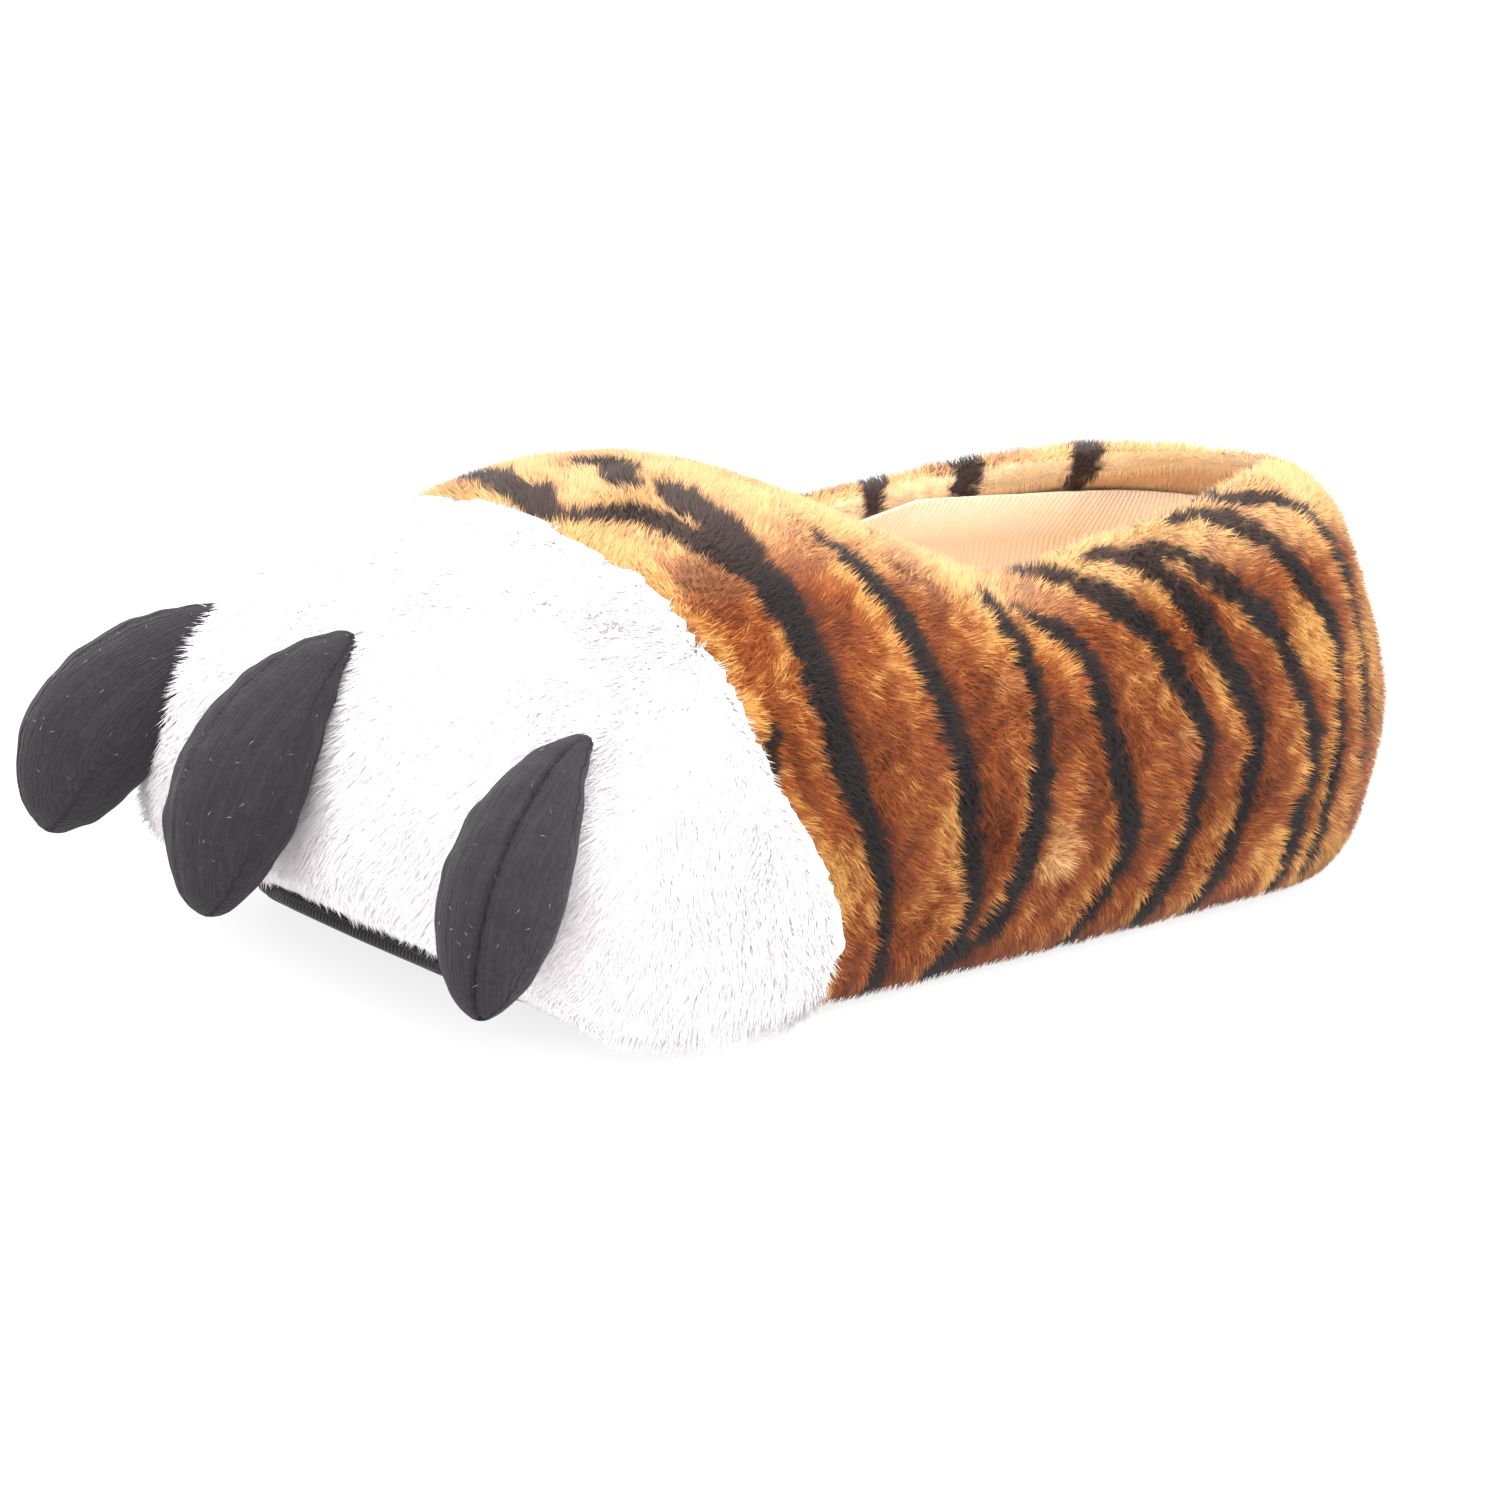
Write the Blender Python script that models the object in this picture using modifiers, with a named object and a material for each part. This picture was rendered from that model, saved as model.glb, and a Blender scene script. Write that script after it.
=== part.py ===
"""Plush paw slipper: outsole, insole, one hollow upper, a stuffed toe cap and three claws.

The toe points to +X, the shoe's left is +Y and the floor is z = 0. Sizes below are in
millimetres, with x measured forward from the back of the heel.
"""

import bmesh
import bpy
import numpy as np

MM = 0.001
ORIGIN_X = 140.0  # the frame's origin lies under the middle of the sole
GAP = 0.3  # clearance between neighbouring pieces

# Sole: flat from the heel to the ball, then a toe spring
SOLE_THICKNESS = 4.0
SOLE_START, SOLE_END = 14.0, 266.0
SOLE_INSET, SOLE_TOE_INSET = 8.0, 2.0  # how far the sole's edge lies inside the upper's feather line
INSET_FADE_START, INSET_FADE_END = 205.0, 245.0
SOLE_HEEL_ROUND, SOLE_TOE_ROUND, SOLE_TOE_POWER = 40.0, 62.0, 4.0
SOLE_EDGE_ROUND = 1.2
TOE_SPRING = 12.0
SPRING_START, SPRING_END = 195.0, 282.0
INSOLE_THICKNESS = 4.0
INSOLE_CLEARANCE = 0.6

# Upper: a padded tube with a rolled collar
UPPER_END = 266.0
WALL = 10.0
HEEL_ROUND, HEEL_POWER = 48.0, 2.2
TOE_ROUND, TOE_POWER = 46.0, 2.3
HEEL_LEAN, LEAN_START, LEAN_HEIGHT, LEAN_POWER = 22.0, 38.0, 48.0, 1.3
HEEL_TUCK, TUCK_START, TUCK_HEIGHT = 7.0, 40.0, 34.0
LEAN_REACH = 110.0  # the lean fades out this far from the heel
UPPER_COLUMNS = ("x", "half", "waist", "ridge", "foot", "crown")
UPPER_ROWS = (
    (0, 44, 40, 83, 35, 4.5),
    (10, 44, 40, 88, 36, 4.5),
    (40, 48, 40, 90, 40, 4.5),
    (80, 54, 40, 88, 46, 4.2),
    (112, 58, 40, 84, 51, 4.0),
    (140, 62, 40, 82, 55, 3.6),
    (158, 64, 41, 89, 58, 3.0),
    (178, 67, 42, 97, 61, 2.6),
    (198, 70, 42, 100, 63, 2.4),
    (222, 71, 42, 96, 63, 2.3),
    (240, 69, 41, 88, 62, 2.3),
    (266, 64, 38, 68, 58, 2.2),
)

# Collar opening, seen from above: pointed towards the heel, square at the throat
OPEN_BACK, OPEN_WIDE, OPEN_FRONT = 16.0, 102.0, 140.0
OPEN_HALF = 35.0
OPEN_BACK_POWER, OPEN_FRONT_POWER = 1.8, 4.0
RIM_ROUND = 4.0

# Toe cap: the stuffed paw, cut off at the back along a curved seam
SEAM_COLUMNS = ("z", "x")
SEAM_ROWS = (
    (-20, 203),
    (4, 200),
    (14, 197),
    (22, 197.5),
    (30, 201),
    (40, 208.5),
    (50, 216),
    (60, 221.5),
    (72, 225),
    (84, 227),
    (94, 230),
    (104, 235),
    (140, 255),
)
PAW_START, PAW_END = 176.0, 282.0
PAW_ROUND, PAW_PLAN_POWER, PAW_SIDE_POWER = 67.0, 4.4, 2.2
PAW_COLUMNS = ("x", "half", "waist", "ridge", "foot", "crown", "low")
PAW_ROWS = (
    (176, 70, 40, 99, 64, 2.4, 2.0),
    (192, 73, 40, 102, 67, 2.4, 2.0),
    (206, 76, 40, 101, 72, 2.3, 1.5),
    (220, 79, 40, 98, 77, 2.3, 0.8),
    (238, 81, 40, 94, 79, 2.2, -0.5),
    (258, 82, 40, 91, 79, 2.1, -1.0),
    (270, 82, 40, 89, 77, 2.1, 5.0),
    (282, 82, 40, 88, 74, 2.1, 9.0),
)

# Claws: one crescent, set three times into the front of the paw; thick and wide are half-sizes
CLAW_COLUMNS = ("along", "drop", "thick", "wide")
CLAW_ROWS = (
    (-5.5, -0.8, 0.8, 1.0),
    (0.0, 0.8, 2.8, 3.4),
    (5.5, 4.2, 5.4, 6.2),
    (10.8, 9.6, 8.2, 9.2),
    (16.2, 16.8, 10.6, 11.0),
    (20.0, 24.6, 11.8, 11.6),
    (22.6, 32.4, 11.0, 10.6),
    (24.2, 39.4, 8.4, 8.0),
    (25.0, 44.6, 5.2, 5.0),
    (25.2, 47.8, 1.2, 1.2),
)
CLAW_PLACE_COLUMNS = ("x", "y", "z", "heading", "scale")
CLAW_PLACES = {
    "claw_right": (266.0, -63.0, 62.5, -17.5, 1.0),
    "claw_middle": (273.0, 0.0, 70.0, 0.0, 1.07),
    "claw_left": (266.0, 63.0, 62.5, 17.5, 1.0),
}

# Mesh density
SHARP_ANGLE = np.radians(50)
LOW_COLUMNS, HIGH_COLUMNS = 6, 11  # points below and above a section's waist
HEEL_ROWS, COLLAR_ROWS, FRONT_ROWS = 4, 21, 13
RIM_STEPS = 4
PAW_ROW_COUNT, SEAM_STEPS = 17, 41
CLAW_RINGS, CLAW_SIDES = 16, 14
SOLE_SHARES = (1 - np.cos(np.pi * np.linspace(0, 1, 29))) / 2
SOLE_LANES = (-1.0, -0.6, 0.0, 0.6, 1.0)

COLOURS = {
    "outsole": (0.02, 0.02, 0.022),
    "insole": (0.62, 0.40, 0.28),
    "upper": (0.45, 0.22, 0.07),
    "toe_cap": (0.86, 0.84, 0.82),
    "claw_left": (0.03, 0.03, 0.035),
    "claw_middle": (0.03, 0.03, 0.035),
    "claw_right": (0.03, 0.03, 0.035),
}


# Tables and curves

def table(columns, rows):
    """The rows of a table as one array per named column."""
    return {name: np.array([row[i] for row in rows], float) for i, name in enumerate(columns)}


UPPER_TABLE = table(UPPER_COLUMNS, UPPER_ROWS)
PAW_TABLE = table(PAW_COLUMNS, PAW_ROWS)
SEAM_TABLE = table(SEAM_COLUMNS, SEAM_ROWS)
CLAW_TABLE = table(CLAW_COLUMNS, CLAW_ROWS)


def smooth(places, values, at):
    """A smooth curve through the values, read at one or more places."""
    slopes = np.gradient(values, places)
    at = np.clip(at, places[0], places[-1])
    i = np.clip(np.searchsorted(places, at) - 1, 0, len(places) - 2)
    span = places[i + 1] - places[i]
    t = (at - places[i]) / span
    start = (1 + 2 * t) * (1 - t) ** 2 * values[i] + t * (1 - t) ** 2 * span * slopes[i]
    end = t**2 * (3 - 2 * t) * values[i + 1] + t**2 * (t - 1) * span * slopes[i + 1]
    return start + end


def end_round(distance, length, power):
    """Rises from 0 at the end of a form to 1 at the given length from it."""
    u = np.clip(1 - distance / length, 0, 1)
    return (1 - u**power) ** (1 / power)


def spring(x):
    """Height of the sole's underside above the floor."""
    return TOE_SPRING * np.clip((x - SPRING_START) / (SPRING_END - SPRING_START), 0, 1) ** 2


def sole_top(x):
    return SOLE_THICKNESS + spring(x)


# Sections

def upper_sizes(x, grow=0.0):
    """Sizes of the upper's section at x, with its surface moved out by grow."""
    sizes = {name: smooth(UPPER_TABLE["x"], UPPER_TABLE[name], x) for name in UPPER_COLUMNS[1:]}
    heel = end_round(x + grow, HEEL_ROUND + grow, HEEL_POWER)
    toe = end_round(UPPER_END + grow - x, TOE_ROUND + grow, TOE_POWER)
    sizes["half"] = (sizes["half"] + grow) * heel * toe
    sizes["foot"] = (sizes["foot"] + grow) * heel * toe
    sizes["ridge"] = sizes["waist"] + (sizes["ridge"] + grow - sizes["waist"]) * toe
    sizes["low"] = sole_top(x) + GAP
    return sizes


def paw_sizes(x, grow=0.0):
    """Sizes of the stuffed paw's section at x, with its surface moved out by grow."""
    sizes = {name: smooth(PAW_TABLE["x"], PAW_TABLE[name], x) for name in PAW_COLUMNS[1:]}
    plan = end_round(PAW_END + grow - x, PAW_ROUND + grow, PAW_PLAN_POWER)
    side = end_round(PAW_END + grow - x, PAW_ROUND + grow, PAW_SIDE_POWER)
    sizes["half"] = (sizes["half"] + grow) * plan
    sizes["foot"] = (sizes["foot"] + grow) * plan
    sizes["ridge"] = sizes["waist"] + (sizes["ridge"] + grow - sizes["waist"]) * side
    sizes["low"] = sizes["low"] + spring(x) - grow
    return sizes


def evenly(y, z, count):
    """Points spaced evenly along a curve."""
    run = np.append(0, np.cumsum(np.hypot(np.diff(y), np.diff(z))))
    even = np.linspace(0, run[-1], count)
    return np.column_stack([np.interp(even, run, y), np.interp(even, run, z)])


def half_section(sizes, stop=0.0):
    """(y, z) points from the feather line past the waist and over to y = stop near the ridge."""
    turn = np.linspace(np.pi / 2, 0, 40)
    low_y = sizes["foot"] + (sizes["half"] - sizes["foot"]) * np.cos(turn)
    low_z = sizes["waist"] - (sizes["waist"] - sizes["low"]) * np.sin(turn)
    stop_turn = np.arccos(np.clip(stop / max(sizes["half"], 1e-6), 0, 1) ** (sizes["crown"] / 2))
    turn = np.linspace(0, stop_turn, 120)
    high_y = sizes["half"] * np.cos(turn) ** (2 / sizes["crown"])
    high_z = sizes["waist"] + (sizes["ridge"] - sizes["waist"]) * np.sin(turn) ** (2 / sizes["crown"])
    high_y[-1] = stop
    below, above = evenly(low_y, low_z, LOW_COLUMNS), evenly(high_y, high_z, HIGH_COLUMNS)
    return np.vstack([below[:-1], above])


def at_station(x, section):
    """Section points with their x added."""
    return np.column_stack([np.full(len(section), x), section])


def leaned(points):
    """Points with the heel's forward lean above its middle and its tuck below it."""
    x, z = points[..., 0], points[..., 2]
    near = np.clip(1 - x / LEAN_REACH, 0, 1)
    rise = np.clip((z - LEAN_START) / LEAN_HEIGHT, 0, None)
    fall = np.clip((TUCK_START - z) / TUCK_HEIGHT, 0, None)
    moved = points.copy()
    moved[..., 0] += near * (HEEL_LEAN * rise**LEAN_POWER + HEEL_TUCK * fall**2)
    return moved


def opening(share, grow=0.0):
    """(x, y) on the collar opening's outline, share running from the heel to the throat."""
    back, front = OPEN_BACK - grow, OPEN_FRONT + grow
    x = back + (front - back) * (1 - np.cos(np.pi * share)) / 2
    if x < OPEN_WIDE:
        reach, power = OPEN_WIDE - back, OPEN_BACK_POWER
    else:
        reach, power = front - OPEN_WIDE, OPEN_FRONT_POWER
    u = min(abs(x - OPEN_WIDE) / reach, 1.0)
    return x, (OPEN_HALF + grow) * (1 - u**power) ** (1 / power)


# Meshes

def new_object(name, collection, points, faces, half=False):
    """A mesh object from points in millimetres; a half is open at y = 0 and mirrored there."""
    points = (np.asarray(points, float) - (ORIGIN_X, 0, 0)) * MM
    shape = bmesh.new()
    corners = [shape.verts.new(point) for point in points]
    for face in faces:
        shape.faces.new([corners[i] for i in face])
    bmesh.ops.remove_doubles(shape, verts=shape.verts, dist=1e-6)
    bmesh.ops.dissolve_degenerate(shape, edges=shape.edges, dist=1e-7)
    if not half:
        bmesh.ops.recalc_face_normals(shape, faces=shape.faces)
    mesh = bpy.data.meshes.new(name)
    shape.to_mesh(mesh)
    shape.free()
    mesh.shade_smooth()
    mesh.set_sharp_from_angle(angle=SHARP_ANGLE)
    made = bpy.data.objects.new(name, mesh)
    collection.objects.link(made)
    if half:
        both = made.modifiers.new("both_sides", "MIRROR")
        both.use_axis = (False, True, False)
        both.merge_threshold = 1e-5
    return made


def grid_faces(start, rows, columns, step):
    """Quads of a grid whose points begin at start, a row every step points."""
    corners = [start + i * step + j for i in range(rows - 1) for j in range(columns - 1)]
    return [(a, a + 1, a + step + 1, a + step) for a in corners]


def full_loop(half):
    """A closed loop from the half section on the left, with its mirror image."""
    return np.vstack([half, half[-2::-1] * (1, -1, 1)])


def loft(loops):
    """Points and faces of a solid through loops of equal length, with flat ends."""
    count = len(loops[0])
    points = np.vstack(loops)
    faces = []
    for row in range(0, len(points) - count, count):
        for j in range(count):
            a, b = row + j, row + (j + 1) % count
            faces.append((a, b, b + count, a + count))
    faces.append(tuple(range(count)))
    faces.append(tuple(range(len(points) - count, len(points))))
    return points, faces


# Pieces

def sole_outline(grow=0.0):
    """(x, half-width) rows of the outsole's outline, moved out by grow."""
    start, end = SOLE_START - grow, SOLE_END + grow
    x = start + (end - start) * SOLE_SHARES
    fade = np.clip((x - INSET_FADE_START) / (INSET_FADE_END - INSET_FADE_START), 0, 1)
    inset = SOLE_INSET + (SOLE_TOE_INSET - SOLE_INSET) * fade
    foot = smooth(UPPER_TABLE["x"], UPPER_TABLE["foot"], x) - inset + grow
    heel = end_round(x - start, SOLE_HEEL_ROUND, HEEL_POWER)
    toe = end_round(end - x, SOLE_TOE_ROUND, SOLE_TOE_POWER)
    return np.column_stack([x, foot * heel * toe])


def insole_outline():
    """(x, half-width) rows just inside the foot of the upper's wall."""
    inset = WALL + INSOLE_CLEARANCE
    x = inset + (UPPER_END - 2 * inset) * SOLE_SHARES
    half = upper_sizes(x, -inset)["foot"]
    tucked = leaned(np.column_stack([x, half, sole_top(x)]))
    return tucked[:, :2]


def sole_layer(name, collection, outline, low, high):
    """A layer with the given outline between two heights above the sprung underside."""
    rows = [[(x, half * lane, spring(x)) for lane in SOLE_LANES] for x, half in outline]
    flat = np.array(rows).reshape(-1, 3)
    count, lanes, size = len(outline), len(SOLE_LANES), len(flat)
    points = np.vstack([flat + (0, 0, low), flat + (0, 0, high)])
    faces = grid_faces(0, count, lanes, lanes) + grid_faces(size, count, lanes, lanes)
    for edge in (0, lanes - 1):
        rim = [i * lanes + edge for i in range(count)]
        faces += [(a, b, b + size, a + size) for a, b in zip(rim, rim[1:])]
    return new_object(name, collection, points, faces)


def round_edges(made, width):
    bevel = made.modifiers.new("edges", "BEVEL")
    bevel.width = width * MM
    bevel.segments = 2
    bevel.limit_method = "ANGLE"
    bevel.angle_limit = SHARP_ANGLE


def upper_rows(grow, start, end):
    """Half sections of one face of the upper: heel, beside the collar, then over the foot."""
    back, front = opening(0, RIM_ROUND)[0], opening(1, RIM_ROUND)[0]
    heel = start + (back - start) * np.linspace(0, 1, HEEL_ROWS + 1)[:-1] ** 1.5
    sides = [opening(share, RIM_ROUND) for share in np.linspace(0, 1, COLLAR_ROWS)]
    foot = front + (end - front) * np.sin(np.pi / 2 * np.linspace(0, 1, FRONT_ROWS + 1)[1:])
    stations = [(x, 0.0) for x in heel] + sides + [(x, 0.0) for x in foot]
    return np.array([at_station(x, half_section(upper_sizes(x, grow), stop)) for x, stop in stations])


def rim_rows(outer, inner):
    """Points of the rolled rim between the outer and inner face, a row per collar station."""
    rows = []
    for i, share in enumerate(np.linspace(0, 1, COLLAR_ROWS)):
        over, under = outer[HEEL_ROWS + i, -1], inner[HEEL_ROWS + i, -1]
        row = [over]
        for turn in np.pi * np.arange(1, RIM_STEPS) / RIM_STEPS:
            x, y = opening(share, RIM_ROUND * (1 - np.sin(turn)))
            z = (over[2] + under[2]) / 2 + (over[2] - under[2]) / 2 * np.cos(turn)
            row.append((x, y, z))
        rows.append(row + [under])
    return np.array(rows)


def make_upper(collection):
    """The hollow upper: outer face, lining face, rolled collar and the foot of its wall."""
    outer = upper_rows(0.0, 0.0, UPPER_END)
    inner = upper_rows(-WALL, WALL, UPPER_END - WALL)
    rim = rim_rows(outer, inner)
    count, columns = outer.shape[:2]
    size = count * columns
    points = leaned(np.vstack([outer.reshape(-1, 3), inner.reshape(-1, 3), rim.reshape(-1, 3)]))
    faces = grid_faces(0, count, columns, columns)
    faces += [tuple(reversed(face)) for face in grid_faces(size, count, columns, columns)]
    faces += grid_faces(2 * size, COLLAR_ROWS, RIM_STEPS + 1, RIM_STEPS + 1)
    feather = [i * columns for i in range(count)]
    faces += [(a, b, b + size, a + size) for a, b in zip(feather, feather[1:])]
    return new_object("upper", collection, points, faces, half=True)


def paw_form(name, collection, grow=0.0):
    """The whole paw as a solid, from behind the seam to its front."""
    loops = []
    for share in np.linspace(0, 1, PAW_ROW_COUNT):
        x = PAW_START + (PAW_END + grow - PAW_START) * np.sin(np.pi / 2 * share)
        loops.append(full_loop(at_station(x, half_section(paw_sizes(x, grow)))))
    return new_object(name, collection, *loft(loops))


def seam_cutter(collection):
    """A block that takes everything behind the curved seam."""
    back, side = 100.0, 120.0
    heights = np.linspace(SEAM_TABLE["z"][0], SEAM_TABLE["z"][-1], SEAM_STEPS)
    profile = np.column_stack([smooth(SEAM_TABLE["z"], SEAM_TABLE["x"], heights), heights])
    profile = np.vstack([profile, (back, heights[-1]), (back, heights[0])])
    loops = [np.insert(profile, 1, y, axis=1) for y in (-side, side)]
    return new_object("seam_cutter", collection, *loft(loops))


def body_cutter(collection):
    """The front of the upper's outer form, grown by the gap and taken down past the floor."""
    front = opening(1, RIM_ROUND)[0]
    shares = np.linspace(0, 1, FRONT_ROWS + 1)
    loops = []
    for x in front + (UPPER_END - front) * np.sin(np.pi / 2 * shares) + GAP * shares:
        half = at_station(x, half_section(upper_sizes(x, GAP)))
        below = half[0] * (1, 1, 0) - (0, 0, 10)
        loops.append(full_loop(np.vstack([below, half])))
    return new_object("body_cutter", collection, *loft(loops))


def cut(made, cutter):
    boolean = made.modifiers.new(cutter.name, "BOOLEAN")
    boolean.operation = "DIFFERENCE"
    boolean.solver = "EXACT"
    boolean.object = cutter


def make_toe_cap(collection, cutters):
    """The stuffed paw, hollowed by the upper's own form and by the sole under it."""
    paw = paw_form("toe_cap", collection)
    cut(paw, seam_cutter(cutters))
    cut(paw, body_cutter(cutters))
    below, above = -10.0, SOLE_THICKNESS + GAP
    cut(paw, sole_layer("sole_cutter", cutters, sole_outline(GAP), below, above))


def make_claw(name, collection, cutter):
    """One crescent claw: oval rings square to a curved spine, cut to sit on the paw."""
    place = dict(zip(CLAW_PLACE_COLUMNS, CLAW_PLACES[name]))
    rows = np.arange(len(CLAW_ROWS))
    at = np.linspace(0, len(CLAW_ROWS) - 1, CLAW_RINGS)
    sizes = {key: smooth(rows, values, at) * place["scale"] for key, values in CLAW_TABLE.items()}
    run, fall = np.gradient(sizes["along"]), np.gradient(sizes["drop"])
    length = np.hypot(run, fall)
    turn = np.linspace(0, 2 * np.pi, CLAW_SIDES, endpoint=False)
    heading = np.radians(place["heading"])
    loops = []
    for i in range(CLAW_RINGS):
        out = sizes["along"][i] + fall[i] / length[i] * sizes["thick"][i] * np.cos(turn)
        up = -sizes["drop"][i] + run[i] / length[i] * sizes["thick"][i] * np.cos(turn)
        across = sizes["wide"][i] * np.sin(turn)
        x = place["x"] + out * np.cos(heading) - across * np.sin(heading)
        y = place["y"] + out * np.sin(heading) + across * np.cos(heading)
        loops.append(np.column_stack([x, y, place["z"] + up]))
    cut(new_object(name, collection, *loft(loops)), cutter)


def paint(made):
    """Gives a piece its own plain material."""
    material = bpy.data.materials.new(made.name)
    material.use_nodes = True
    shader = material.node_tree.nodes["Principled BSDF"]
    shader.inputs["Base Color"].default_value = (*COLOURS[made.name], 1)
    shader.inputs["Roughness"].default_value = 0.95
    made.data.materials.append(material)


def new_collection(name):
    collection = bpy.data.collections.new(name)
    bpy.context.scene.collection.children.link(collection)
    return collection


def main():
    for old in list(bpy.data.objects):
        bpy.data.objects.remove(old)
    pieces = new_collection("plush_slipper")
    cutters = new_collection("cutters")

    outsole = sole_layer("outsole", pieces, sole_outline(), 0.0, SOLE_THICKNESS)
    round_edges(outsole, SOLE_EDGE_ROUND)
    insole_low = SOLE_THICKNESS + GAP
    sole_layer("insole", pieces, insole_outline(), insole_low, insole_low + INSOLE_THICKNESS)
    make_upper(pieces)
    make_toe_cap(pieces, cutters)
    claw_cutter = paw_form("claw_cutter", cutters, GAP)
    for name in CLAW_PLACES:
        make_claw(name, pieces, claw_cutter)

    for piece in pieces.objects:
        paint(piece)
    for cutter in cutters.objects:
        cutter.hide_render = True
        cutter.display_type = "WIRE"


main()
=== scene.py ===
"""Looks of the plush paw slipper: striped pile on the upper, white pile on the paw, knit claws,
a ribbed lining, a padded insole and a cloth sole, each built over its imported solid.

The toe points to +X, the shoe's left is +Y and the floor is z = 0. Shoe coordinates, used below for
every size and place, are millimetres with x measured forward from the back of the heel.
"""

import bmesh
import bpy
import numpy as np
from mathutils import Matrix, Vector
from mathutils.bvhtree import BVHTree
from mathutils.kdtree import KDTree


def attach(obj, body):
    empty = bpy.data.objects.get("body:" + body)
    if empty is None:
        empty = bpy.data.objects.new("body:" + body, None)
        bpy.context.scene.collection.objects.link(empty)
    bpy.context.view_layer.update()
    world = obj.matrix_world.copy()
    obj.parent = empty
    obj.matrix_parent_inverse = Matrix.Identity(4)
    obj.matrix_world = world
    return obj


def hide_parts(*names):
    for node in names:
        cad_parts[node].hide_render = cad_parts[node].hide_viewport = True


MM = 0.001
SEED = 11
WELD = 1e-5  # metres

# Camera, at the photograph's angle
AIM = (160.8, -7.3, 34.2)
SIGHT = (150.0, 0.0, 40.0)  # the point that the distance is measured from
AZIMUTH, RISE, ROLL = 49.8, 13.8, 4.0  # degrees
DISTANCE = 1201.0
FOCAL_PIXELS, PHOTO_PIXELS = 5735.0, 1500.0
SENSOR = 36.0

# The paw's seam, as in its solid, and the upper's ridge, near enough for its colours
ORIGIN_X = 140.0  # from the back of the heel to the frame's origin
SEAM_Z = (-20, 4, 14, 22, 30, 40, 50, 60, 72, 84, 94, 104, 140)
SEAM_X = (203, 200, 197, 197.5, 201, 208.5, 216, 221.5, 225, 227, 230, 235, 255)
RIDGE_X = (0, 40, 80, 112, 140, 158, 178, 198, 222, 240)
RIDGE_Z = (83, 90, 88, 84, 82, 89, 97, 100, 96, 88)

# Skins: the cloth under the pile, at the seam, the rim and the hem
SEAM_MARGIN = -1.0  # the white pile is rooted from here forward, measured from the seam
SEAM_TUCK, SEAM_TUCK_RUN = 1.8, 7.0  # the paw's cloth dips into the seam
# Lines inside the shoe and inside the paw, which outward is measured from
HEART_SPAN, PAW_HEART_SPAN, PAW_HEART_SIDE = (60.0, 200.0), (190.0, 225.0), 0.5
HEART_HEIGHT = 45.0
THROAT_X, RIM_LOW = 149.0, 74.0  # pile covers the inside of the collar behind and above these
# The collar's rim is puffed up on the left and at the heel: lifts, and the runs where they rise and fall
LEFT_RIM_LIFT, HEEL_RIM_LIFT = 6.0, 3.0
LEFT_RIM_RISE, LEFT_RIM_FALLS, LEFT_RIM_SIDE = (36, 60), ((112, 150), (120, 150)), (8, 22)
HEEL_RIM_FALL, HEEL_RIM_SIDE = (48, 88), (-25, 8)
RIM_LIFT_Z = (66, 84)
# The cloth's lower edge hangs down round the sole, and stops this far ahead of the paw's seam
HEM_DROP, HEM_LOW, HEM_HIGH, HEM_END = 4.0, 4.0, 22.0, (2, 14)
FLOOR_CLEAR = 0.5  # the tips of the pile stay this far above the floor

# Pile: lengths in millimetres, tilts in degrees from upright
BODY_PILE = {
    "hairs": 142000, "length": 2.4, "tilt": 28.0, "sink": 1.7, "width": 0.36, "tuft": 5, "pull": 0.1,
}
PAW_PILE = {
    "hairs": 54000, "length": 4.2, "tilt": 50.0, "sink": 2.2, "width": 0.42, "tuft": 6, "pull": 0.12,
}
BODY_SWIRL, PAW_SWIRL = 0.7, 0.2
BODY_LAY, PAW_LAY = (-0.45, 0.0, -1.0), (0.7, 0.0, -0.7)
SEAM_LAY, SEAM_LAY_RUN = (-0.5, 0.0, -0.6), (1.0, 6.0)  # next to the seam the white pile leans back over it
HANG_TILT, HANG_LOW, HANG_HIGH = 74.0, 4.0, 14.0  # low hairs hang down over the sole's edge
# Parted spots: x, y, z, reach and strength
PARTINGS = (
    (132, 60, 24, 12.0, 1.0),
    (94, 55, 44, 6.5, 0.75),
    (150, 60, 63, 7.0, 0.7),
    (176, 65, 22, 7.0, 0.4),
)

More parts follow.
